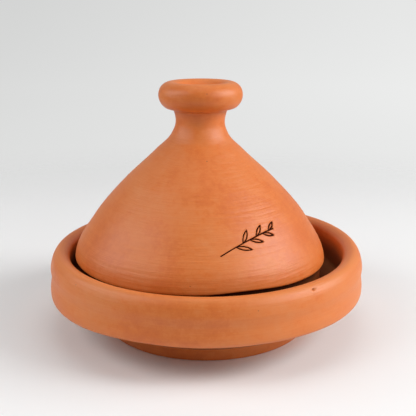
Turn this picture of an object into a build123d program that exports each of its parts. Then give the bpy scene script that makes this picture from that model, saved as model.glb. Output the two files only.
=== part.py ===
"""Terracotta tagine: a low cooking dish with a heavy rim, and a conical lid with a cupped knob.

Frame: millimetres, +Z up. The origin is the centre of the foot, on the surface the dish stands on.
Both pieces are thrown on a wheel, so each one is a body of revolution about its own axis.
"""
import os
from build123d import *

os.makedirs("parts", exist_ok=True)

# ---- Dish: outside ---------------------------------------------------------------------------
foot_radius = 96.0            # edge of the flat foot that the dish stands on
foot_height = 11.0            # straight side of the foot, below the flared underside
foot_flare = 1.5              # how much wider the foot is at its top
foot_edge_round = 1.6

band_radius = 145.0           # widest radius of the tall outer band
band_widest_height = 41.0
band_bottom_radius = 138.0    # where the underside meets the band
band_bottom_height = 32.0
band_edge_radius = 144.5      # top of the rounded lower edge of the band
band_edge_height = 36.0
groove_radius = 143.7         # shallow turned groove round the middle of the band
groove_height = 52.0
upper_band_radius = 144.4     # the band swells a little again above the groove
upper_band_height = 59.5
shoulder_radius = 142.8       # where the band starts to roll over into the rim
shoulder_height = 66.5

# ---- Dish: rim and inside --------------------------------------------------------------------
dish_height = 74.0            # top of the rim
rim_crest_radius = 135.5      # radius of the highest line of the rim
rim_inner_radius = 126.5      # where the rim has rolled over to the inner wall
rim_inner_height = 68.0
well_wall_radius = 125.0      # foot of the inner wall, at the ledge
ledge_height = 42.0           # flat ledge that carries the lid
ledge_inner_radius = 95.0
ledge_fillet = 4.0
bowl_floor_height = 14.0
bowl_floor_radius = 55.0
bowl_side_radius = 84.0       # a point half way up the curved side of the bowl
bowl_side_height = 24.5

# ---- Lid -------------------------------------------------------------------------------------
seat_gap = 0.3                # clearance under the lid, where it rests on the ledge
lid_shift = 6.0               # the lid lies this far off the dish's axis, towards -X
collar_radius = 112.5         # collar that drops inside the dish
collar_wall = 10.0
bead_height = 22.7            # underside of the lid's lower edge, above the bottom of the collar
bead_radius = 116.0           # lower edge of the cone
bead_round = 2.2
cone_foot_height = 27.0       # where the side of the cone starts above the lower edge
cone_points = [(98.2, 58.0), (68.1, 92.8), (39.0, 120.0), (25.8, 133.8)]
neck_radius = 22.0
neck_height = 145.5           # narrowest place of the neck
neck_top_radius = 24.2
neck_top_height = 156.2       # crease between the neck and the knob
knob_under_radius = 30.0
knob_under_height = 157.6
knob_low_radius = 35.8        # lower and upper cheek of the knob, either side of its middle
knob_low_height = 162.6
knob_radius = 37.6
knob_middle_height = 169.6
knob_high_radius = 35.4
knob_high_height = 176.4
knob_crest_radius = 27.5
lid_height = 180.7            # top of the knob, above the bottom of the collar
cup_radius = 21.0             # mouth of the cup in the top of the knob
cup_mouth_height = 178.6
cup_floor_radius = 6.0
cup_floor_height = 168.6
wall_shift_in = 8.0           # the inside of the cone is its outside moved in by this much
wall_shift_down = 6.0         # and down by this much
hollow_top_radius = 4.0
hollow_top_height = 152.0     # the hollow runs up into the neck and closes there

# ---- Dish ------------------------------------------------------------------------------------
with BuildPart() as dish:
    with BuildSketch(Plane.XZ) as dish_section:
        with BuildLine() as dish_outline:
            Polyline(
                (0, 0),
                (foot_radius, 0),
                (foot_radius + foot_flare, foot_height),
                (band_bottom_radius, band_bottom_height),
            )
            Spline(
                (band_bottom_radius, band_bottom_height),
                (band_edge_radius, band_edge_height),
                (band_radius, band_widest_height),
                tangents=((1, 0.15), (0, 1)),
            )
            Spline(
                (band_radius, band_widest_height),
                (groove_radius, groove_height),
                (upper_band_radius, upper_band_height),
                (shoulder_radius, shoulder_height),
                tangents=((0, 1), (-0.35, 1)),
            )
            Spline(
                (shoulder_radius, shoulder_height),
                (rim_crest_radius, dish_height),
                tangents=((-0.35, 1), (-1, 0)),
            )
            Spline(
                (rim_crest_radius, dish_height),
                (rim_inner_radius, rim_inner_height),
                tangents=((-1, 0), (-0.1, -1)),
            )
            Polyline(
                (rim_inner_radius, rim_inner_height),
                (well_wall_radius, ledge_height),
                (ledge_inner_radius, ledge_height),
            )
            ThreePointArc(
                (ledge_inner_radius, ledge_height),
                (bowl_side_radius, bowl_side_height),
                (bowl_floor_radius, bowl_floor_height),
            )
            Polyline(
                (bowl_floor_radius, bowl_floor_height),
                (0, bowl_floor_height),
                (0, 0),
            )
        make_face()
    revolve(axis=Axis.Z)

    circles = dish.edges().filter_by(GeomType.CIRCLE)
    foot_edge = circles.group_by(Axis.Z)[0]
    fillet(foot_edge, foot_edge_round)
    ledge_edges = dish.edges().filter_by(GeomType.CIRCLE).filter_by_position(
        Axis.Z, ledge_height - 0.1, ledge_height + 0.1
    )
    fillet(ledge_edges, ledge_fillet)

dish.part.label = "dish"
export_step(dish.part, "parts/dish.step")

# ---- Lid -------------------------------------------------------------------------------------
lid_bottom = ledge_height + seat_gap
lid_section_plane = Plane(origin=(-lid_shift, 0, lid_bottom), x_dir=(1, 0, 0), z_dir=(0, -1, 0))
lid_axis = Axis((-lid_shift, 0, lid_bottom), (0, 0, 1))

cone_side = [(bead_radius - 0.6, cone_foot_height), *cone_points, (neck_radius, neck_height)]
hollow_side = [(r - wall_shift_in, h - wall_shift_down) for r, h in cone_side]
hollow_foot_radius = collar_radius - collar_wall

with BuildPart() as lid:
    with BuildSketch(lid_section_plane) as lid_section:
        with BuildLine() as lid_outline:
            Polyline(
                (0, 0),
                (collar_radius, 0),
                (collar_radius, bead_height),
                (bead_radius, bead_height),
                (bead_radius, cone_foot_height - 1.5),
                cone_side[0],
            )
            Spline(*cone_side, tangents=((-0.28, 1), (0, 1)))
            Spline(
                (neck_radius, neck_height),
                (neck_top_radius, neck_top_height),
                tangents=((0, 1), (0.35, 1)),
            )
            Line((neck_top_radius, neck_top_height), (knob_under_radius, knob_under_height))
            Spline(
                (knob_under_radius, knob_under_height),
                (knob_low_radius, knob_low_height),
                (knob_radius, knob_middle_height),
                (knob_high_radius, knob_high_height),
                (knob_crest_radius, lid_height),
                tangents=((1, 0.25), (-1, 0)),
            )
            Spline(
                (knob_crest_radius, lid_height),
                (cup_radius, cup_mouth_height),
                tangents=((-1, 0), (-0.9, -1)),
            )
            Spline(
                (cup_radius, cup_mouth_height),
                (cup_floor_radius, cup_floor_height),
                tangents=((-0.9, -1), (-1, 0)),
            )
            Polyline((cup_floor_radius, cup_floor_height), (0, cup_floor_height), (0, 0))
        make_face()
    revolve(axis=lid_axis)

    with BuildSketch(lid_section_plane) as hollow_section:
        with BuildLine() as hollow_outline:
            Polyline((0, 0), (hollow_foot_radius, 0), (hollow_foot_radius, bead_height - 4))
            Spline(
                (hollow_foot_radius, bead_height - 4),
                *hollow_side[1:],
                tangents=((0, 1), (0, 1)),
            )
            Spline(
                hollow_side[-1],
                (hollow_top_radius, hollow_top_height),
                tangents=((0, 1), (-1, 0)),
            )
            Polyline((hollow_top_radius, hollow_top_height), (0, hollow_top_height), (0, 0))
        make_face()
    revolve(axis=lid_axis, mode=Mode.SUBTRACT)

    bead_edges = lid.edges().filter_by(GeomType.CIRCLE).filter_by_position(
        Axis.Z, lid_bottom + bead_height - 0.1, lid_bottom + bead_height + 0.1
    )
    fillet(bead_edges.sort_by(SortBy.RADIUS)[-1], bead_round)
    collar_edges = lid.edges().filter_by(GeomType.CIRCLE).filter_by_position(
        Axis.Z, lid_bottom - 0.1, lid_bottom + 0.1
    )
    fillet(collar_edges, bead_round)

lid.part.label = "lid"
export_step(lid.part, "parts/lid.step")
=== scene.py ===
"""A terracotta tagine: a low cooking dish with a heavy rolled rim, and a tall lid with a cupped knob.

Both pieces are made the way a potter makes them. A pen draws half of the outline beside the wheel's
axis, the wheel carries it once round, and hands and tools then leave their marks in the clay: finger
rings, dents, a warped edge, pits where grit tore out, and a sprig cut into the side of the lid.
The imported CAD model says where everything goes. All lengths are in metres.
"""
import math
import random

import bpy
import numpy as np
from bpy.props import FloatProperty, FloatVectorProperty, PointerProperty
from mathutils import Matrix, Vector


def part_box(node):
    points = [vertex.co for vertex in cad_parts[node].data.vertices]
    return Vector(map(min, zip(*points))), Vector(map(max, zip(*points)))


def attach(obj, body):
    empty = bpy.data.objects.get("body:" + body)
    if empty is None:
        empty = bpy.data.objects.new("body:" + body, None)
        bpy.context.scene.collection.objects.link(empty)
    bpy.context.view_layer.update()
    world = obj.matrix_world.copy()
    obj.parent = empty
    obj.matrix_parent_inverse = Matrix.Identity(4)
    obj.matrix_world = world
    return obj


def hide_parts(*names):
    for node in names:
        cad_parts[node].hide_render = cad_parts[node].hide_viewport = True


bl_info = {
    "name": "Tagine",
    "version": (1, 0, 0),
    "blender": (4, 5, 0),
    "location": "3D View > Sidebar > Tagine",
    "description": "Throws, marks and fires a terracotta tagine dish and its lid",
    "category": "Add Mesh",
}

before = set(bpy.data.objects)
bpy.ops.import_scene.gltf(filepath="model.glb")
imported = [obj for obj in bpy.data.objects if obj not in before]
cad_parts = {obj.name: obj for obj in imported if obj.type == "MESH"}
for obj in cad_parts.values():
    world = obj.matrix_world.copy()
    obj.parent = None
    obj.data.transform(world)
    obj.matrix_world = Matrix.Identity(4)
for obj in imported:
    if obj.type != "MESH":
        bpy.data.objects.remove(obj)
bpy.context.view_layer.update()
DISH_LOW, DISH_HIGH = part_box("dish")
LID_LOW, LID_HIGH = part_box("lid")

MM = 0.001
DISH_AXIS = Vector((0, 0, 0))
LID_AXIS = Vector(((LID_LOW.x + LID_HIGH.x) / 2, 0, 0))
TURNTABLE_STEPS = 256

SIZE = {"min": 0.0, "precision": 4, "unit": "LENGTH", "subtype": "DISTANCE"}
PAINT = {"size": 3, "min": 0.0, "max": 1.0, "subtype": "COLOR"}
SHARE = {"min": 0.0, "max": 1.0, "subtype": "FACTOR"}

# The dish: how its foot flares and is rounded, and the depth of the rings left in its band
FOOT_FLARE = 1.5 * MM
FOOT_ROUND = 1.6 * MM
LEDGE_ROUND = 4 * MM
DISH_RINGS = 0.07 * MM

# The lid: radius and height above the collar's foot, in millimetres, of places on its outline
CONE_SIDE = ((98.2, 58), (68.1, 92.8), (39, 120), (25.8, 133.8))
NECK_TOP = (24.2, 156.2)
KNOB_UNDERSIDE = (30, 157.6)
KNOB_LOWER_CHEEK = (35.8, 162.6)
KNOB_UPPER_CHEEK = (35.4, 176.4)
HOLLOW_TOP = 152
COLLAR_ROUND = 2.2 * MM
LID_RINGS = 0.16 * MM

# The sprig: degrees round from the front, and how steeply the side of the cone it lies on leans
SPRIG_TURN = 26
SPRIG_LEAVES = 6
SPRIG_LENGTH = 53 * MM
SPRIG_HEIGHT = 59 * MM
SPRIG_WIDTH = 0.85 * MM
SPRIG_DEPTH = 0.7 * MM
CONE_SLOPE = 0.78

# Marks in the clay: degrees round from the front, height of the place, then half the width, half
# the height and the depth of the mark itself
DISH_PITS = (
    (-31.3, 70.8 * MM, 1.2 * MM, 0.9 * MM, 0.4 * MM),
    (37.4, 70.9 * MM, 2.4 * MM, 1.3 * MM, 1.2 * MM),
    (152, 60 * MM, 2.0 * MM, 1.4 * MM, 0.9 * MM),
)
DISH_FLECK = (4.2, 65.8 * MM, 1.5 * MM, 0.8 * MM, 0.15 * MM)
LID_NICK = (-33.1, LID_LOW.z + 27.7 * MM, 0.7 * MM, 2.4 * MM, 0.5 * MM)


# ---- What a user would change ------------------------------------------------------------------

class DishSizes(bpy.types.PropertyGroup):
    """Sizes of the dish. Heights are above the table."""

    foot_radius: FloatProperty(
        name="Foot radius", description="Edge of the flat foot", default=0.096, **SIZE
    )
    foot_height: FloatProperty(
        name="Foot height", description="Side of the foot", default=0.011, **SIZE
    )
    belly_radius: FloatProperty(
        name="Belly radius", description="Underside meets band", default=0.138, **SIZE
    )
    belly_height: FloatProperty(
        name="Belly height", description="Underside meets band", default=0.032, **SIZE
    )
    lip_height: FloatProperty(
        name="Lip height", description="Top of the band's lower lip", default=0.036, **SIZE
    )
    widest_height: FloatProperty(
        name="Widest height", description="Band at its widest", default=0.041, **SIZE
    )
    groove_height: FloatProperty(
        name="Groove height", description="Groove turned in the band", default=0.052, **SIZE
    )
    groove_depth: FloatProperty(
        name="Groove depth", description="Below the widest radius", default=0.0011, **SIZE
    )
    swell_height: FloatProperty(
        name="Swell height", description="Swell over the groove", default=0.0595, **SIZE
    )
    shoulder_height: FloatProperty(
        name="Shoulder height", description="Rim rolls over here", default=0.0665, **SIZE
    )
    crest_radius: FloatProperty(
        name="Crest radius", description="Highest line of the rim", default=0.1355, **SIZE
    )
    wall_radius: FloatProperty(
        name="Wall radius", description="Foot of the inner wall", default=0.125, **SIZE
    )
    ledge_height: FloatProperty(
        name="Ledge height", description="Ledge under the lid", default=0.042, **SIZE
    )
    ledge_radius: FloatProperty(
        name="Ledge radius", description="Inner edge of the ledge", default=0.095, **SIZE
    )
    bowl_height: FloatProperty(
        name="Bowl height", description="Floor of the bowl", default=0.014, **SIZE
    )
    bowl_radius: FloatProperty(
        name="Bowl radius", description="Edge of the bowl's floor", default=0.055, **SIZE
    )


class LidSizes(bpy.types.PropertyGroup):
    """Sizes of the lid. Heights are above the foot of its collar."""

    collar_radius: FloatProperty(
        name="Collar radius", description="Outside of the collar", default=0.1125, **SIZE
    )
    collar_wall: FloatProperty(
        name="Collar wall", description="Thickness of the collar", default=0.010, **SIZE
    )
    edge_height: FloatProperty(
        name="Edge height", description="Underside of the lid's edge", default=0.0227, **SIZE
    )
    edge_radius: FloatProperty(
        name="Edge radius", description="Lower edge of the cone", default=0.116, **SIZE
    )
    neck_radius: FloatProperty(
        name="Neck radius", description="Narrowest place", default=0.022, **SIZE
    )
    neck_height: FloatProperty(
        name="Neck height", description="Narrowest place", default=0.1455, **SIZE
    )
    knob_radius: FloatProperty(
        name="Knob radius", description="Knob at its widest", default=0.0376, **SIZE
    )
    knob_height: FloatProperty(
        name="Knob height", description="Knob at its widest", default=0.1696, **SIZE
    )
    crest_radius: FloatProperty(
        name="Crest radius", description="Highest line of the knob", default=0.0275, **SIZE
    )
    cup_radius: FloatProperty(
        name="Cup radius", description="Mouth of the knob's cup", default=0.021, **SIZE
    )
    cup_height: FloatProperty(
        name="Cup height", description="Floor of the knob's cup", default=0.1686, **SIZE
    )


class FiredClay(bpy.types.PropertyGroup):
    """Colours and surface of the fired clay. Reliefs are in millimetres, from lowest to highest."""

    body: FloatVectorProperty(
        name="Clay", description="Fired clay", default=(0.69, 0.178, 0.029), **PAINT
    )
    pale: FloatVectorProperty(
        name="Bloom", description="Dry bloom", default=(0.70, 0.225, 0.062), **PAINT
    )
    deep: FloatVectorProperty(
        name="Deep clay", description="Denser clay", default=(0.60, 0.125, 0.018), **PAINT
    )
    # Colour of the painted shade in the dish's well and under the lid's edge; the pores are darkened
    # towards it too
    painted_shade: FloatVectorProperty(
        name="Painted shade", description="Painted shade inside the pieces", default=(0.022, 0.007, 0.004), **PAINT
    )
    cut: FloatVectorProperty(
        name="Cut", description="Iron slip in the lines", default=(0.025, 0.005, 0.004), **PAINT
    )
    ring_tint: FloatProperty(
        name="Ring tint", description="Deep clay in the fine rings", default=0.28, **SHARE
    )
    # How far the painted highlight on crests, and the pale fleck, move towards the bloom colour
    highlight_and_fleck_tint: FloatProperty(
        name="Highlight tint", description="Bloom in painted highlight and fleck", default=0.45, **SHARE
    )
    pore_tint: FloatProperty(
        name="Pore tint", description="Darkness of the pores", default=0.60, **SHARE
    )
    roughness: FloatProperty(
        name="Roughness", description="Of the smoothest clay", default=0.38, **SHARE
    )
    dry_roughness: FloatProperty(
        name="Dry roughness", description="Added by the bloom", default=0.10, **SHARE
    )
    ring_roughness: FloatProperty(
        name="Ring roughness", description="Added by the rings", default=0.12, **SHARE
    )
    # Roughness added where shade is painted and in the cut lines
    shade_and_cut_roughness: FloatProperty(
        name="Shade roughness", description="Added by painted shade and slip", default=0.45, **SHARE
    )
    ring_relief: FloatProperty(
        name="Ring relief", description="Finger rings", default=0.38, **SHARE
    )
    fine_relief: FloatProperty(
        name="Fine ring relief", description="Rings left by a rib", default=0.13, **SHARE
    )
    grain_relief: FloatProperty(
        name="Grain relief", description="Open grain of the clay", default=0.07, **SHARE
    )
    pore_relief: FloatProperty(
        name="Pore relief", description="Depth of the pores", default=0.25, **SHARE
    )


class StudioSettings(bpy.types.PropertyGroup):
    """The plain studio round the pot."""

    paper: FloatVectorProperty(
        name="Paper", description="Seamless pale floor", default=(0.86, 0.86, 0.86), **PAINT
    )
    backdrop_left: FloatVectorProperty(
        name="Backdrop left", description="Far left", default=(0.70, 0.705, 0.70), **PAINT
    )
    backdrop_right: FloatVectorProperty(
        name="Backdrop right", description="Far right", default=(0.84, 0.845, 0.84), **PAINT
    )
    sky: FloatVectorProperty(
        name="Sky", description="Soft light from all round", default=(1.0, 1.0, 1.0), **PAINT
    )
    sky_strength: FloatProperty(
        name="Sky strength", description="Light from all round", default=0.18, min=0.0
    )
    camera_side: FloatProperty(
        name="Camera side", description="Towards +X", default=0.00148, **SIZE
    )
    camera_back: FloatProperty(
        name="Camera back", description="Towards -Y", default=0.64475, **SIZE
    )
    camera_height: FloatProperty(
        name="Camera height", description="Above the floor", default=0.28792, **SIZE
    )
    camera_dip: FloatProperty(
        name="Camera dip", description="Below the level", default=math.radians(15.7), subtype="ANGLE"
    )
    lens: FloatProperty(
        name="Lens", description="Focal length in millimetres", default=62.43, subtype="DISTANCE_CAMERA"
    )


# ---- Drawing an outline ------------------------------------------------------------------------

class Pen:
    """Draws an outline beside the wheel's axis. A place is (radius, height)."""

    def __init__(self, start):
        self.points = [np.array(start, float)]

    def line(self, to, spacing=4 * MM):
        """A straight stretch."""
        self.curve(to, spacing=spacing)

    def curve(self, *through, leave=None, arrive=None, spacing=1.2 * MM):
        """A smooth stretch through the places given, leaving and arriving in the directions given."""
        knots = np.array([self.points[-1], *through], float)
        runs = np.diff(knots, axis=0)
        gaps = np.linalg.norm(runs, axis=1)[:, None]
        slopes = runs / gaps
        heading = np.empty_like(knots)
        heading[1:-1] = (slopes[1:] * gaps[:-1] + slopes[:-1] * gaps[1:]) / (gaps[1:] + gaps[:-1])
        heading[0] = slopes[0] if leave is None else Vector(leave).normalized()
        heading[-1] = slopes[-1] if arrive is None else Vector(arrive).normalized()
        for start, end, out, into, gap in zip(knots, knots[1:], heading, heading[1:], gaps[:, 0]):
            steps = max(1, round(gap / spacing))
            for t in np.arange(1, steps + 1) / steps:
                self.points.append(
                    (2 * t**3 - 3 * t**2 + 1) * start + (t**3 - 2 * t**2 + t) * gap * out
                    + (3 * t**2 - 2 * t**3) * end + (t**3 - t**2) * gap * into
                )

    def corner(self, at, towards, radius, spacing=4 * MM):
        """A straight stretch up to a corner, and an arc round it that sets off towards the next place."""
        at = np.array(at, float)
        back = self.points[-1] - at
        back /= np.linalg.norm(back)
        on = np.array(towards, float) - at
        on /= np.linalg.norm(on)
        half_angle = math.acos(float(back @ on)) / 2
        reach = radius / math.tan(half_angle)
        self.line(at + back * reach, spacing)
        centre = at + (back + on) / np.linalg.norm(back + on) * radius / math.sin(half_angle)
        start = self.points[-1] - centre
        side = on * reach + at - centre
        turn = math.pi - 2 * half_angle
        steps = max(3, math.ceil(turn * radius / (0.6 * MM)))
        for t in np.arange(1, steps + 1) / steps:
            share = math.sin((1 - t) * turn), math.sin(t * turn)
            self.points.append(centre + (start * share[0] + side * share[1]) / math.sin(turn))

    def ring(self, first, depth, seed):
        """Moves the points from number `first` on in and out, by the uneven rings that fingers leave."""
        chance = random.Random(seed)
        waves = [
            (chance.uniform(2.4, 9.0) * MM, chance.uniform(0, math.tau), chance.uniform(0.4, 1.0))
            for _ in range(8)
        ]
        stretch = np.array(self.points[first:])
        runs = np.gradient(stretch, axis=0)
        outward = np.c_[runs[:, 1], -runs[:, 0]] / np.linalg.norm(runs, axis=1)[:, None]
        along = np.r_[0, np.cumsum(np.linalg.norm(np.diff(stretch, axis=0), axis=1))]
        wave = sum(size * np.sin(math.tau * along / length + start) for length, start, size in waves)
        fade = np.clip(np.minimum(along, along[-1] - along) / (6 * MM), 0, 1)
        stretch += outward * (wave * fade * depth / len(waves))[:, None]
        self.points[first:] = list(stretch)


# ---- Handling the clay -------------------------------------------------------------------------

def let_go():
    """Leaves edit mode with nothing selected."""
    if bpy.context.object and bpy.context.object.mode != "OBJECT":
        bpy.ops.object.mode_set(mode="OBJECT")
    bpy.ops.object.select_all(action="DESELECT")


def take(piece):
    """Makes a piece the only one selected, and the active one."""
    let_go()
    piece.select_set(True)
    bpy.context.view_layer.objects.active = piece


def throw(name, points, axis, steps=TURNTABLE_STEPS):
    """Draws the outline out of a single point, and carries it once round the wheel's axis."""
    let_go()
    bpy.ops.mesh.primitive_plane_add(size=MM)
    piece = bpy.context.object
    piece.name = name
    piece.data.name = name
    bpy.ops.object.mode_set(mode="EDIT")
    bpy.ops.mesh.merge(type="CENTER")
    bpy.ops.transform.translate(value=(axis.x + points[0][0], 0, points[0][1]))
    for here, there in zip(points, points[1:]):
        step = (there[0] - here[0], 0, there[1] - here[1])
        bpy.ops.mesh.extrude_region_move(TRANSFORM_OT_translate={"value": step})
    bpy.ops.mesh.select_all(action="SELECT")
    bpy.ops.mesh.spin(steps=steps, angle=math.tau, center=axis, axis=(0, 0, 1), use_auto_merge=True)
    bpy.ops.mesh.select_all(action="SELECT")
    bpy.ops.mesh.remove_doubles(threshold=0.02 * MM)
    bpy.ops.mesh.normals_make_consistent(inside=False)
    bpy.ops.object.mode_set(mode="OBJECT")
    bpy.ops.object.shade_smooth()
    return piece


def places(piece):
    """Where the vertices are, one row each."""
    found = np.empty(len(piece.data.vertices) * 3)
    piece.data.vertices.foreach_get("co", found)
    return found.reshape(-1, 3)


def round_axis(co, axis):
    """Each place as (angle from the front towards +X, radius, height)."""
    x, y = co[:, 0] - axis.x, co[:, 1] - axis.y
    return np.arctan2(x, -y), np.hypot(x, y), co[:, 2]


def select_vertices(piece, chosen):
    """Enters edit mode with just these vertices selected, and the faces and edges between them."""
    take(piece)
    mesh = piece.data
    mesh.polygons.foreach_set("select", np.zeros(len(mesh.polygons), bool))
    mesh.edges.foreach_set("select", np.zeros(len(mesh.edges), bool))
    mesh.vertices.foreach_set("select", chosen)
    bpy.context.tool_settings.mesh_select_mode = (True, False, False)
    bpy.ops.object.mode_set(mode="EDIT")
    bpy.ops.mesh.select_mode(type="VERT")


def refine(piece, chosen, cuts, surface=None):
    """Cuts the faces between the chosen vertices finer, and lays what is new on the thrown surface."""
    before = len(piece.data.vertices)
    select_vertices(piece, chosen)
    bpy.ops.mesh.subdivide(number_cuts=cuts, smoothness=0 if surface else 1, quadcorner="STRAIGHT_CUT")
    bpy.ops.object.mode_set(mode="OBJECT")
    if surface:
        co = places(piece)
        co[before:] = surface(co[before:])
        piece.data.vertices.foreach_set("co", co.ravel())
        piece.data.update()


def on_outline(points, axis):
    """Puts places back at the radius that the outline has at their height."""
    outline = np.array(points)
    heights, radii = outline[:, 1], outline[:, 0]
    order = np.argsort(heights)

    def surface(co):
        _, radius, height = round_axis(co, axis)
        share = np.interp(height, heights[order], radii[order]) / radius
        co = co.copy()
        co[:, 0] = axis.x + (co[:, 0] - axis.x) * share
        co[:, 1] = axis.y + (co[:, 1] - axis.y) * share
        return co

    return surface


def paint(piece, name, values):
    """Keeps a number from 0 to 1 at each vertex, for the material to read."""
    layer = piece.data.attributes.get(name) or piece.data.attributes.new(name, "FLOAT", "POINT")
    layer.data.foreach_set("value", np.asarray(values, np.float32))


def shift(piece, weights, distance, direction="NORMAL", texture=None):
    """Moves the surface by `distance` where the weights are 1, and by less where they are less."""
    group = piece.vertex_groups.new(name="shift")
    for i in np.flatnonzero(weights > 0):
        group.add([int(i)], float(weights[i]), "REPLACE")
    take(piece)
    move = piece.modifiers.new("Shift", "DISPLACE")
    move.vertex_group = group.name
    move.direction = direction
    move.strength = distance
    move.mid_level = 0
    if texture:
        move.texture = texture
        move.texture_coords = "LOCAL"
    bpy.ops.object.modifier_apply(modifier=move.name)
    piece.vertex_groups.remove(piece.vertex_groups["shift"])


def dent(piece, size, depth, weights, swell=0.0):
    """Broad shallow dents from handling. They go inwards, from a swell if there is one."""
    clouds = bpy.data.textures.new(piece.name + "_dents", "CLOUDS")
    clouds.noise_scale = size
    clouds.noise_depth = 1
    shift(piece, weights, -depth, texture=clouds)
    if swell:
        shift(piece, weights, swell)
    bpy.data.textures.remove(clouds)


def ramp(value, start, end):
    """0 up to one value, 1 from another, and a smooth rise between them."""
    t = np.clip((value - start) / (end - start), 0, 1)
    return t * t * (3 - 2 * t)


def facing(angle, degrees, width):
    """1 at an angle round the piece, falling smoothly to 0 at `width` degrees either side of it."""
    off = np.degrees(np.abs((angle - math.radians(degrees) + math.pi) % math.tau - math.pi))
    return ramp(off, width, 0)


# ---- The sprig ---------------------------------------------------------------------------------

def bowed(start, end, bow):
    """Points close together along a stroke from one place to another, bowed to its left."""
    start, end = np.array(start, float), np.array(end, float)
    run = end - start
    middle = (start + end) / 2 + np.array((-run[1], run[0])) * bow
    t = np.linspace(0, 1, math.ceil(np.linalg.norm(run) / (0.15 * MM)))[:, None]
    return (1 - t) ** 2 * start + 2 * t * (1 - t) * middle + t**2 * end


def sprig(length, leaves):
    """The strokes of a leafy sprig, drawn about its middle: a stem, and leaves left and right of it."""
    stem = bowed((-length / 2, -0.17 * length), (length / 2, 0.17 * length), 0.12)
    strokes = [stem]
    for i, share in enumerate(np.linspace(0.26, 0.90, leaves)):
        number = round(share * (len(stem) - 1))
        run = stem[number] - stem[number - 1]
        side = 1 if i % 2 else -1
        angle = math.atan2(run[1], run[0]) + side * math.radians(48 - 22 * share)
        size = length * (0.27 - 0.08 * share)
        tip = stem[number] + size * np.array((math.cos(angle), math.sin(angle)))
        strokes += [bowed(stem[number], tip, 0.24), bowed(stem[number], tip, -0.24)]
    return strokes


def cut_strokes(piece, strokes, axis, degrees, height, slope, surface, width, depth):
    """Cuts strokes into the side of a piece. They are drawn flat, and wrapped round it at a height."""
    def flat(co):
        angle, radius, up = round_axis(co, axis)
        outside = np.abs(round_axis(surface(co), axis)[1] - radius) < 2 * MM
        level = np.abs(up - height) < 30 * MM
        outer = outside & level & (np.abs(angle - math.radians(degrees)) < math.radians(40))
        middle_radius = np.median(radius[outer])
        across = (angle - math.radians(degrees)) * middle_radius
        return np.c_[across, (up - height) / slope], outer

    def distance(co):
        drawn, outer = flat(co)
        found = np.full(len(co), 1.0)
        points = np.concatenate(strokes)
        for i in np.flatnonzero(outer):
            found[i] = np.sqrt(((points - drawn[i]) ** 2).sum(axis=1).min())
        return found

    for reach in (9 * MM, 5.5 * MM, 2.8 * MM):
        refine(piece, distance(places(piece)) < reach, 1, surface)
    found = distance(places(piece))
    groove = ramp(found, width, 0.45 * width)
    burr = ramp(found, 2 * width, 1.3 * width) * ramp(found, 0.8 * width, 1.2 * width)
    shift(piece, groove, -depth)
    shift(piece, burr, 0.2 * depth)
    paint(piece, "cut", groove)


# ---- Materials ---------------------------------------------------------------------------------

CLAY_IOR = 1.5
# Gloss of the clay, taken away where shade is painted and in the cut lines
FULL_SPECULAR = 0.5
PAPER_ROUGHNESS = 0.9
BACKDROP_TURNS = 0.7
BACKDROP_DIMS = 0.12
DIMS_FROM = 1.8
DIMS_TO = 2.7


def add(tree, kind, inputs=(), **settings):
    """Adds a node. Inputs are values, or the sockets that feed them."""
    node = tree.nodes.new(kind)
    for name, value in settings.items():
        setattr(node, name, value)
    for name, value in dict(inputs).items():
        if isinstance(value, bpy.types.NodeSocket):
            tree.links.new(value, node.inputs[name])
        else:
            node.inputs[name].default_value = value
    return node


def new_group(name, inputs, outputs):
    """An empty node group with the named sockets. Returns it with its input and output nodes."""
    tree = bpy.data.node_groups.new(name, "ShaderNodeTree")
    for label, default in inputs.items():
        kind = {3: "Vector", 4: "Color"}.get(np.size(default), "Float")
        socket = tree.interface.new_socket(label, in_out="INPUT", socket_type="NodeSocket" + kind)
        socket.default_value = default
    for label, kind in outputs.items():
        tree.interface.new_socket(label, in_out="OUTPUT", socket_type="NodeSocket" + kind)
    return tree, tree.nodes.new("NodeGroupInput").outputs, tree.nodes.new("NodeGroupOutput").inputs


def sums(tree, operation, a, b=0.0):
    """A number worked out from one or two others."""
    return add(tree, "ShaderNodeMath", {0: a, 1: b}, operation=operation).outputs[0]


def vectors(tree, operation, a, **inputs):
    """A vector worked out from others."""
    sockets = {"b": 1, "scale": "Scale"}
    given = {sockets[name]: value for name, value in inputs.items()}
    return add(tree, "ShaderNodeVectorMath", {0: a, **given}, operation=operation).outputs


def fade(tree, value, start, end, ease="LINEAR"):
    """0 up to one value, 1 from another, and a ramp between them."""
    inputs = {"Value": value, "From Min": start, "From Max": end}
    return add(tree, "ShaderNodeMapRange", inputs, interpolation_type=ease).outputs[0]


def noise(tree, vector, scale, **inputs):
    """Seeded clouds from 0 to 1."""
    named = {name.capitalize(): value for name, value in inputs.items()}
    return add(tree, "ShaderNodeTexNoise", {"Vector": vector, "Scale": scale, **named}).outputs["Fac"]


def blend(tree, share, a, b):
    """One colour passing into another."""
    return add(tree, "ShaderNodeMix", {0: share, 6: a, 7: b}, data_type="RGBA").outputs[2]


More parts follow.
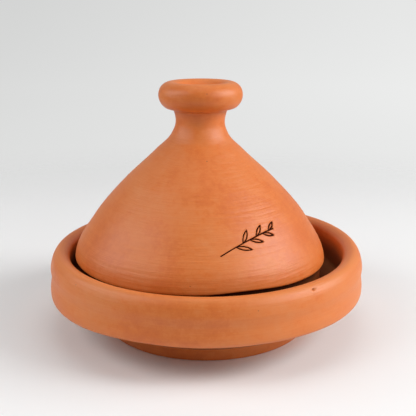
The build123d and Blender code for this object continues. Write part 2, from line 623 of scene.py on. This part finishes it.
def finger_rings_group():
    """Fine rings round the wheel's axis, as fingers and ribs leave them: long, and never quite whole."""
    tree, given, result = new_group(
        "Finger rings",
        {"Vector": (0, 0, 0), "Rings per metre": 350.0, "Break up": 2.5},
        {"Height": "Float", "Mask": "Float"},
    )
    flat = vectors(tree, "MULTIPLY", given["Vector"], b=(1, 1, 0))[0]
    radius = vectors(tree, "LENGTH", flat)["Value"]
    outward = vectors(tree, "NORMALIZE", flat)[0]
    spread = vectors(tree, "SCALE", outward, scale=given["Break up"])[0]
    height = add(tree, "ShaderNodeSeparateXYZ", {0: given["Vector"]}).outputs["Z"]
    out = sums(tree, "MULTIPLY", radius, given["Rings per metre"])
    up = sums(tree, "MULTIPLY", height, given["Rings per metre"])
    lift = add(tree, "ShaderNodeCombineXYZ", {"Z": out}).outputs[0]
    where = vectors(tree, "ADD", spread, b=lift)[0]
    rings = add(
        tree,
        "ShaderNodeTexNoise",
        {"Vector": where, "W": up, "Scale": 1.0, "Detail": 4.0, "Roughness": 0.62},
        noise_dimensions="4D",
    ).outputs["Fac"]
    tree.links.new(rings, result["Height"])
    tree.links.new(fade(tree, rings, 0.36, 0.64), result["Mask"])


def clouded_clay_group():
    """The colour of fired clay: clouded with a drier, paler bloom and with a denser, redder clay."""
    tree, given, result = new_group(
        "Clouded clay",
        {
            "Vector": (0, 0, 0), "Clay": (1, 1, 1, 1), "Pale": (1, 1, 1, 1), "Deep": (1, 1, 1, 1),
            "Clouds per metre": 14.0,
        },
        {"Colour": "Color", "Bloom": "Float"},
    )
    broad = noise(tree, given["Vector"], given["Clouds per metre"], detail=5.0, roughness=0.6)
    small = noise(tree, given["Vector"], 160.0, detail=4.0, roughness=0.7)
    clouds = sums(tree, "ADD", sums(tree, "MULTIPLY", broad, 0.65), sums(tree, "MULTIPLY", small, 0.35))
    bloom = fade(tree, clouds, 0.47, 0.66)
    paler = blend(tree, bloom, given["Clay"], given["Pale"])
    colour = blend(tree, fade(tree, clouds, 0.50, 0.34), paler, given["Deep"])
    tree.links.new(colour, result["Colour"])
    tree.links.new(bloom, result["Bloom"])


def grain_group():
    """The grain of open clay, and the odd pore where a grit has burnt or fallen out."""
    tree, given, result = new_group(
        "Grain and pores",
        {"Vector": (0, 0, 0), "Grains per metre": 1100.0, "Pores per metre": 150.0},
        {"Height": "Float", "Pores": "Float"},
    )
    grain = noise(tree, given["Vector"], given["Grains per metre"], detail=3.0, roughness=0.6)
    cells = add(
        tree, "ShaderNodeTexVoronoi", {"Vector": given["Vector"], "Scale": given["Pores per metre"]}
    ).outputs
    chance = add(tree, "ShaderNodeSeparateColor", {0: cells["Color"]}).outputs[0]
    rare = fade(tree, chance, 0.97, 0.99)
    pores = sums(tree, "MULTIPLY", fade(tree, cells["Distance"], 0.11, 0.05), rare)
    tree.links.new(grain, result["Height"])
    tree.links.new(pores, result["Pores"])


def fired_clay(name, axis, clay):
    """Terracotta, turned about the piece's own axis. It reads the piece's cut layer, its painted
    highlight and fleck layer, and its painted shade layer.
    """
    material = bpy.data.materials.new(name)
    material.use_nodes = True
    tree = material.node_tree
    shader = tree.nodes["Principled BSDF"]
    place = add(tree, "ShaderNodeTexCoord").outputs["Object"]
    turned = add(tree, "ShaderNodeMapping", {0: place, "Location": -axis}).outputs[0]
    tone = {key: (*getattr(clay, key), 1.0) for key in ("body", "pale", "deep", "painted_shade", "cut")}
    layer = {
        key: add(tree, "ShaderNodeAttribute", attribute_name=key).outputs["Fac"]
        for key in ("cut", "highlight_and_fleck", "painted_shade")
    }

    def group(name, inputs):
        shared = bpy.data.node_groups[name]
        return add(tree, "ShaderNodeGroup", {"Vector": turned, **inputs}, node_tree=shared).outputs

    def share(value, amount):
        return sums(tree, "MULTIPLY", value, amount)

    def total(*values):
        whole = values[0]
        for value in values[1:]:
            whole = sums(tree, "ADD", whole, value)
        return whole

    clouds = group("Clouded clay", {"Clay": tone["body"], "Pale": tone["pale"], "Deep": tone["deep"]})
    rings = group("Finger rings", {"Rings per metre": 330.0, "Break up": 2.2})
    fine_rings = group("Finger rings", {"Rings per metre": 1050.0, "Break up": 5.0})
    grain = group("Grain and pores", {})

    colour = blend(tree, share(fine_rings["Mask"], clay.ring_tint), clouds["Colour"], tone["deep"])
    # Painted highlight on the crests, and the real pale fleck, in the bloom colour
    colour = blend(tree, share(layer["highlight_and_fleck"], clay.highlight_and_fleck_tint), colour, tone["pale"])
    colour = blend(tree, share(grain["Pores"], clay.pore_tint), colour, tone["painted_shade"])
    # Painted shade: dark colour in the dish's well and under the lid's edge
    colour = blend(tree, layer["painted_shade"], colour, tone["painted_shade"])
    colour = blend(tree, layer["cut"], colour, tone["cut"])
    tree.links.new(colour, shader.inputs["Base Color"])

    # The painted shade and the cut lines are rougher and lose their gloss
    shade_and_cut = sums(tree, "MAXIMUM", layer["cut"], layer["painted_shade"])
    roughness = total(
        share(clouds["Bloom"], clay.dry_roughness), share(rings["Height"], clay.ring_roughness),
        clay.roughness, share(shade_and_cut, clay.shade_and_cut_roughness),
    )
    tree.links.new(roughness, shader.inputs["Roughness"])
    gloss = share(fade(tree, shade_and_cut, 1.0, 0.0), FULL_SPECULAR)
    tree.links.new(gloss, shader.inputs["Specular IOR Level"])

    relief = total(
        share(rings["Height"], clay.ring_relief), share(fine_rings["Height"], clay.fine_relief),
        share(grain["Height"], clay.grain_relief),
    )
    relief = sums(tree, "SUBTRACT", relief, share(grain["Pores"], clay.pore_relief))
    bump = add(tree, "ShaderNodeBump", {"Height": relief, "Distance": MM, "Strength": 1.0})
    tree.links.new(bump.outputs[0], shader.inputs["Normal"])
    shader.inputs["IOR"].default_value = CLAY_IOR
    return material


def paper_material(colour, near, far):
    """Matt seamless paper, which thins out to nothing between two distances from the pot."""
    material = bpy.data.materials.new("paper")
    material.use_nodes = True
    tree = material.node_tree
    shader = tree.nodes["Principled BSDF"]
    shader.inputs["Base Color"].default_value = (*colour, 1.0)
    shader.inputs["Roughness"].default_value = PAPER_ROUGHNESS
    place = add(tree, "ShaderNodeTexCoord").outputs["Object"]
    distance = vectors(tree, "LENGTH", place)["Value"]
    tree.links.new(fade(tree, distance, far, near, "SMOOTHERSTEP"), shader.inputs["Alpha"])
    return material


def backdrop_material(left, right):
    """A studio wall and floor far behind, as painted light: it glows evenly, a little brighter on one
    side and dimmer far away.
    """
    material = bpy.data.materials.new("backdrop")
    material.use_nodes = True
    tree = material.node_tree
    tree.nodes.clear()
    place = add(tree, "ShaderNodeTexCoord").outputs["Object"]
    side = add(tree, "ShaderNodeSeparateXYZ", {0: place}).outputs["X"]
    across = fade(tree, side, -BACKDROP_TURNS, BACKDROP_TURNS)
    tone = blend(tree, across, (*left, 1.0), (*right, 1.0))
    distance = vectors(tree, "LENGTH", place)["Value"]
    dimming = sums(tree, "MULTIPLY", fade(tree, distance, DIMS_FROM, DIMS_TO), BACKDROP_DIMS)
    strength = sums(tree, "SUBTRACT", 1.0, dimming)
    glow = add(tree, "ShaderNodeEmission", {"Color": tone, "Strength": strength}).outputs[0]
    add(tree, "ShaderNodeOutputMaterial", {"Surface": glow})
    return material


# ---- The pieces --------------------------------------------------------------------------------

def pit(piece, axis, degrees, height, wide, tall, depth, inside):
    """A pit where a grit tore out. What lies nearer the axis than `inside` is left alone."""
    def reach(co):
        angle, radius, up = round_axis(co, axis)
        along = (angle - math.radians(degrees)) * radius
        return np.hypot(along / wide, (up - height) / tall) + 9 * (radius < inside)

    refine(piece, reach(places(piece)) < 2, 5)
    shift(piece, ramp(reach(places(piece)), 1, 0), -depth)
    return lambda: ramp(reach(places(piece)), 0.9, 0.1)


class TAGINE_OT_throw_dish(bpy.types.Operator):
    """Throw the dish: foot, band, rolled rim, ledge and bowl"""

    bl_idname = "tagine.throw_dish"
    bl_label = "Throw the dish"

    def execute(self, context):
        size = context.scene.tagine_dish
        table = DISH_LOW.z
        top = DISH_HIGH.z
        widest = DISH_HIGH.x
        foot_top = (size.foot_radius + FOOT_FLARE, size.foot_height)
        belly = (size.belly_radius, size.belly_height)
        ledge_outer = (size.wall_radius, size.ledge_height)
        ledge_inner = (size.ledge_radius, size.ledge_height)
        bowl_edge = (size.bowl_radius, size.bowl_height)

        pen = Pen((0, table))
        pen.corner((size.foot_radius, table), towards=foot_top, radius=FOOT_ROUND, spacing=8 * MM)
        pen.corner(foot_top, towards=belly, radius=3 * MM)
        pen.line(belly)
        band = len(pen.points)
        pen.curve(
            (widest - 0.5 * MM, size.lip_height), (widest, size.widest_height),
            leave=(1, 0.15), arrive=(0, 1),
        )
        pen.curve(
            (widest - size.groove_depth, size.groove_height),
            (widest - 0.6 * MM, size.swell_height),
            (widest - 2.2 * MM, size.shoulder_height),
            leave=(0, 1), arrive=(-0.35, 1),
        )
        pen.curve((size.crest_radius, top), leave=(-0.35, 1), arrive=(-1, 0))
        pen.curve((size.wall_radius + 1.5 * MM, top - 6 * MM), leave=(-1, 0), arrive=(-0.1, -1))
        pen.ring(band, DISH_RINGS, seed=4)
        pen.corner(ledge_outer, towards=ledge_inner, radius=LEDGE_ROUND)
        pen.corner(ledge_inner, towards=(88 * MM, 28 * MM), radius=LEDGE_ROUND)
        pen.curve((84 * MM, 24.5 * MM), bowl_edge, arrive=(-1, 0), spacing=3 * MM)
        pen.line((0, size.bowl_height), spacing=8 * MM)
        dish = throw("dish_clay", pen.points, DISH_AXIS)

        angle, radius, height = round_axis(places(dish), DISH_AXIS)
        off_foot = ramp(height, 12 * MM, 36 * MM)
        near_rim = ramp(height, 45 * MM, top)
        low_band = off_foot * ramp(height, 56 * MM, 38 * MM)
        lip = ramp(height, 22 * MM, 31 * MM) * ramp(height, 48 * MM, 34 * MM)
        shift(dish, facing(angle, -115, 85) * off_foot, -1.2 * MM, "Z")
        shift(dish, facing(angle, 110, 60) * near_rim, 0.9 * MM, "Z")
        shift(dish, facing(angle, -52, 34) * low_band, 1.8 * MM)
        shift(dish, facing(angle, -2, 75) * lip, 1.6 * MM, "Z")
        dent(dish, 55 * MM, 0.4 * MM, ramp(height, 2 * MM, 20 * MM))
        pits = [pit(dish, DISH_AXIS, *mark, inside=size.crest_radius) for mark in DISH_PITS]
        fleck = pit(dish, DISH_AXIS, *DISH_FLECK, inside=size.crest_radius)

        angle, radius, height = round_axis(places(dish), DISH_AXIS)
        inside = ramp(radius, size.wall_radius + 3 * MM, size.wall_radius + 1 * MM) * (height > 13 * MM)
        deep = ramp(height, top - 4 * MM, size.ledge_height + 10 * MM)
        ledge = ramp(radius, size.ledge_radius - 12 * MM, size.ledge_radius)
        # Painted highlight: the rim's crest is painted paler; the pale fleck is the clay's own
        crest = 0.8 * ramp(height, top - 5 * MM, top - 1 * MM)
        paint(dish, "highlight_and_fleck", np.maximum(crest, 2 * fleck()))
        # Painted shade: the inside of the rim and the well are painted dark, more so further down
        paint(dish, "painted_shade", inside * deep * (0.55 + 0.10 * ledge))
        # The pits are painted darker, with the colour of the cut lines
        paint(dish, "cut", 0.7 * sum(hollow() for hollow in pits))
        dish.data.materials.append(fired_clay("fired_clay_dish", DISH_AXIS, context.scene.tagine_clay))
        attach(dish, "dish")
        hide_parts("dish")
        return {"FINISHED"}


class TAGINE_OT_throw_lid(bpy.types.Operator):
    """Throw the lid: collar, cone, neck and cupped knob, with a sprig cut into its side"""

    bl_idname = "tagine.throw_lid"
    bl_label = "Throw the lid"

    def execute(self, context):
        size = context.scene.tagine_lid
        foot = LID_LOW.z
        top = LID_HIGH.z

        def at(radius, height):
            return radius, foot + height

        def at_mm(radius, height):
            return at(radius * MM, height * MM)

        collar = size.collar_radius
        inner = collar - size.collar_wall
        under = size.edge_height
        cone_foot = at(size.edge_radius - 0.6 * MM, 27 * MM)
        knots = [at_mm(*place) for place in CONE_SIDE] + [at(size.neck_radius, size.neck_height)]
        wall_out, wall_up = 8 * MM, 6 * MM
        hollow = [(radius - wall_out, height - wall_up) for radius, height in reversed(knots)]

        pen = Pen(at_mm(0, HOLLOW_TOP))
        pen.line(at_mm(4, HOLLOW_TOP))
        pen.curve(hollow[0], leave=(1, 0), arrive=(0, -1), spacing=3 * MM)
        pen.curve(*hollow[1:], at(inner, 18.7 * MM), leave=(0, -1), arrive=(0, -1), spacing=5 * MM)
        pen.corner(at(inner, 0), towards=at(collar, 0), radius=COLLAR_ROUND)
        pen.corner(at(collar, 0), towards=at(collar, under), radius=COLLAR_ROUND)
        pen.corner(
            at(collar, under), towards=at(size.edge_radius, under), radius=1 * MM, spacing=2.5 * MM
        )
        pen.corner(at(size.edge_radius, under), towards=cone_foot, radius=COLLAR_ROUND)
        side = len(pen.points)
        pen.curve(cone_foot, *knots, arrive=(0, 1))
        pen.curve(at_mm(*NECK_TOP), leave=(0, 1), arrive=(0.35, 1))
        pen.ring(side, LID_RINGS, seed=11)
        surface = on_outline(pen.points[side:], LID_AXIS)
        pen.line(at_mm(*KNOB_UNDERSIDE), spacing=1.5 * MM)
        pen.curve(
            at_mm(*KNOB_LOWER_CHEEK), at(size.knob_radius, size.knob_height), at_mm(*KNOB_UPPER_CHEEK),
            (size.crest_radius, top), leave=(1, 0.25), arrive=(-1, 0),
        )
        pen.curve(at(size.cup_radius, 178.6 * MM), leave=(-1, 0), arrive=(-0.9, -1))
        pen.curve(at(6 * MM, size.cup_height), leave=(-0.9, -1), arrive=(-1, 0))
        pen.line(at(0, size.cup_height), spacing=2 * MM)
        lid = throw("lid_clay", pen.points, LID_AXIS)
        cut_strokes(
            lid, sprig(SPRIG_LENGTH, SPRIG_LEAVES), LID_AXIS, SPRIG_TURN, height=foot + SPRIG_HEIGHT,
            slope=CONE_SLOPE, surface=surface, width=SPRIG_WIDTH, depth=SPRIG_DEPTH,
        )
        pit(lid, LID_AXIS, *LID_NICK, inside=collar - 2 * MM)

        angle, radius, height = round_axis(places(lid), LID_AXIS)
        edge = foot + under
        # Painted shade under the lid's edge and down the collar, darkest just under the edge
        under_edge = ramp(radius, 95 * MM, 105 * MM) * ramp(height, edge + 1.3 * MM, edge + 0.4 * MM)
        shade_strength = 0.35 + 0.62 * ramp(height, edge - 16 * MM, edge - 3 * MM)
        paint(lid, "painted_shade", under_edge * shade_strength)
        # Painted highlight on the crest of the knob
        paint(lid, "highlight_and_fleck", 0.6 * ramp(height, top - 4 * MM, top - 1 * MM))

        outer = (radius > collar - 1 * MM) | (height > edge + 6 * MM)
        low_side = outer * ramp(height, edge - 4 * MM, edge) * ramp(height, edge + 45 * MM, edge + 4 * MM)
        shift(lid, low_side * facing(angle, 19, 22), 1.6 * MM, "Z")
        shift(lid, low_side * facing(angle, 0, 60), 1.1 * MM, "Z")
        shift(lid, low_side * facing(angle, 88, 60), -3.5 * MM, "Z")
        shift(lid, ramp(height, foot + 120 * MM, foot + 162 * MM), 0.9 * MM, "X")
        left = facing(angle, -90, 80) * ramp(height, edge + 5 * MM, foot + 95 * MM)
        shift(lid, left * ramp(height, foot + 150 * MM, foot + 115 * MM), -0.8 * MM, "X")
        outside = ramp(height, edge, edge + 10 * MM) * ramp(height, top - 1 * MM, top - 20 * MM)
        dent(lid, 60 * MM, 0.6 * MM, outside, swell=0.3 * MM)

        lid.data.materials.append(fired_clay("fired_clay_lid", LID_AXIS, context.scene.tagine_clay))
        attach(lid, "lid")
        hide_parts("lid")
        return {"FINISHED"}


# ---- The studio --------------------------------------------------------------------------------

PAPER_THINS = 0.34
PAPER_END = 0.95
BACKDROP_GAP = 1 * MM
BACKDROP_FLOOR = 1.6
BACKDROP_WALL = 2.6
BACKDROP_TOP = 3.6
SENSOR_WIDTH = 36.0
LIGHT_AIM = Vector((0, 0, 0.1))
LIGHTS = [
    # name, degrees round from the front towards +X, degrees up, distance, diameter, watts
    ("key", 68, 36, 1.35, 0.5, 6.6),
    ("key_low", 90, 25, 2.5, 1.3, 31.0),
    ("key_front", 45, 25, 1.35, 0.7, 2.4),
    ("fill", -90, 25, 1.35, 0.7, 4.6),
    ("fill_front", -60, 40, 1.35, 0.7, 4.6),
    ("back", 180, 15, 1.35, 2.5, 4.8),
    ("above", 0, 90, 1.35, 1.0, 2.8),
]


def soft_light(name, azimuth, elevation, distance, size, power):
    """A round soft box on a stand, turned towards the pot."""
    across, up = math.radians(azimuth), math.radians(elevation)
    away = Vector((math.sin(across) * math.cos(up), -math.cos(across) * math.cos(up), math.sin(up)))
    place = LIGHT_AIM + away * distance
    heading = (LIGHT_AIM - place).to_track_quat("-Z", "Y").to_euler()
    bpy.ops.object.light_add(type="AREA", location=place, rotation=heading)
    light = bpy.context.object
    light.name = name
    light.data.shape = "DISK"
    light.data.size = size
    light.data.energy = power
    light.visible_camera = False


class TAGINE_OT_lay_stage(bpy.types.Operator):
    """Lay the pale floor, set up the soft lights and place the camera"""

    bl_idname = "tagine.lay_stage"
    bl_label = "Lay the stage"

    def execute(self, context):
        studio = context.scene.tagine_studio
        table = DISH_LOW.z
        pen = Pen((0, table))
        pen.line((PAPER_END, table), spacing=0.1)
        floor = throw("floor", pen.points, DISH_AXIS, steps=96)
        floor.data.materials.append(paper_material(studio.paper, PAPER_THINS, PAPER_END))

        below = table - BACKDROP_GAP
        pen = Pen((0, below))
        pen.line((BACKDROP_FLOOR, below), spacing=0.2)
        pen.curve((2.4, 0.5), (BACKDROP_WALL, 1.4), leave=(1, 0), arrive=(0, 1), spacing=0.1)
        pen.curve((0, BACKDROP_TOP), leave=(0, 1), arrive=(-1, 0), spacing=0.2)
        backdrop = throw("backdrop", pen.points, DISH_AXIS, steps=96)
        backdrop.data.materials.append(backdrop_material(studio.backdrop_left, studio.backdrop_right))
        backdrop.visible_diffuse = False
        backdrop.visible_glossy = False
        backdrop.visible_shadow = False

        world = bpy.data.worlds.new("studio")
        world.use_nodes = True
        sky = world.node_tree.nodes["Background"].inputs
        sky["Color"].default_value = (*studio.sky, 1.0)
        sky["Strength"].default_value = studio.sky_strength
        context.scene.world = world

        for light in LIGHTS:
            soft_light(*light)

        let_go()
        bpy.ops.object.camera_add(
            location=(studio.camera_side, -studio.camera_back, studio.camera_height),
            rotation=(math.pi / 2 - studio.camera_dip, 0, 0),
        )
        camera = context.object
        camera.data.lens = studio.lens
        camera.data.sensor_width = SENSOR_WIDTH
        context.scene.camera = camera
        context.scene.view_settings.view_transform = "Standard"
        return {"FINISHED"}


# ---- The panel, and the run --------------------------------------------------------------------

class TAGINE_PT_panel(bpy.types.Panel):
    """Sizes, colours and steps of the tagine"""

    bl_idname = "TAGINE_PT_panel"
    bl_label = "Tagine"
    bl_space_type = "VIEW_3D"
    bl_region_type = "UI"
    bl_category = "Tagine"

    def draw(self, context):
        for name in SETTINGS:
            box = self.layout.box()
            group = getattr(context.scene, name)
            for key in group.bl_rna.properties.keys():
                if key not in {"rna_type", "name"}:
                    box.prop(group, key)
        for operator in OPERATORS:
            self.layout.operator(operator.bl_idname)


SETTINGS = {
    "tagine_dish": DishSizes,
    "tagine_lid": LidSizes,
    "tagine_clay": FiredClay,
    "tagine_studio": StudioSettings,
}
OPERATORS = (TAGINE_OT_throw_dish, TAGINE_OT_throw_lid, TAGINE_OT_lay_stage)
CLASSES = (*SETTINGS.values(), *OPERATORS, TAGINE_PT_panel)


def register():
    """Makes the settings, the steps and the panel known to Blender."""
    for one in CLASSES:
        bpy.utils.register_class(one)
    for name, group in SETTINGS.items():
        setattr(bpy.types.Scene, name, PointerProperty(type=group))


def unregister():
    """Takes them away again."""
    for name in SETTINGS:
        delattr(bpy.types.Scene, name)
    for one in reversed(CLASSES):
        bpy.utils.unregister_class(one)


def main():
    """Throws both pieces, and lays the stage."""
    register()
    finger_rings_group()
    clouded_clay_group()
    grain_group()
    bpy.ops.tagine.throw_dish()
    bpy.ops.tagine.throw_lid()
    bpy.ops.tagine.lay_stage()


if __name__ == "__main__":
    main()
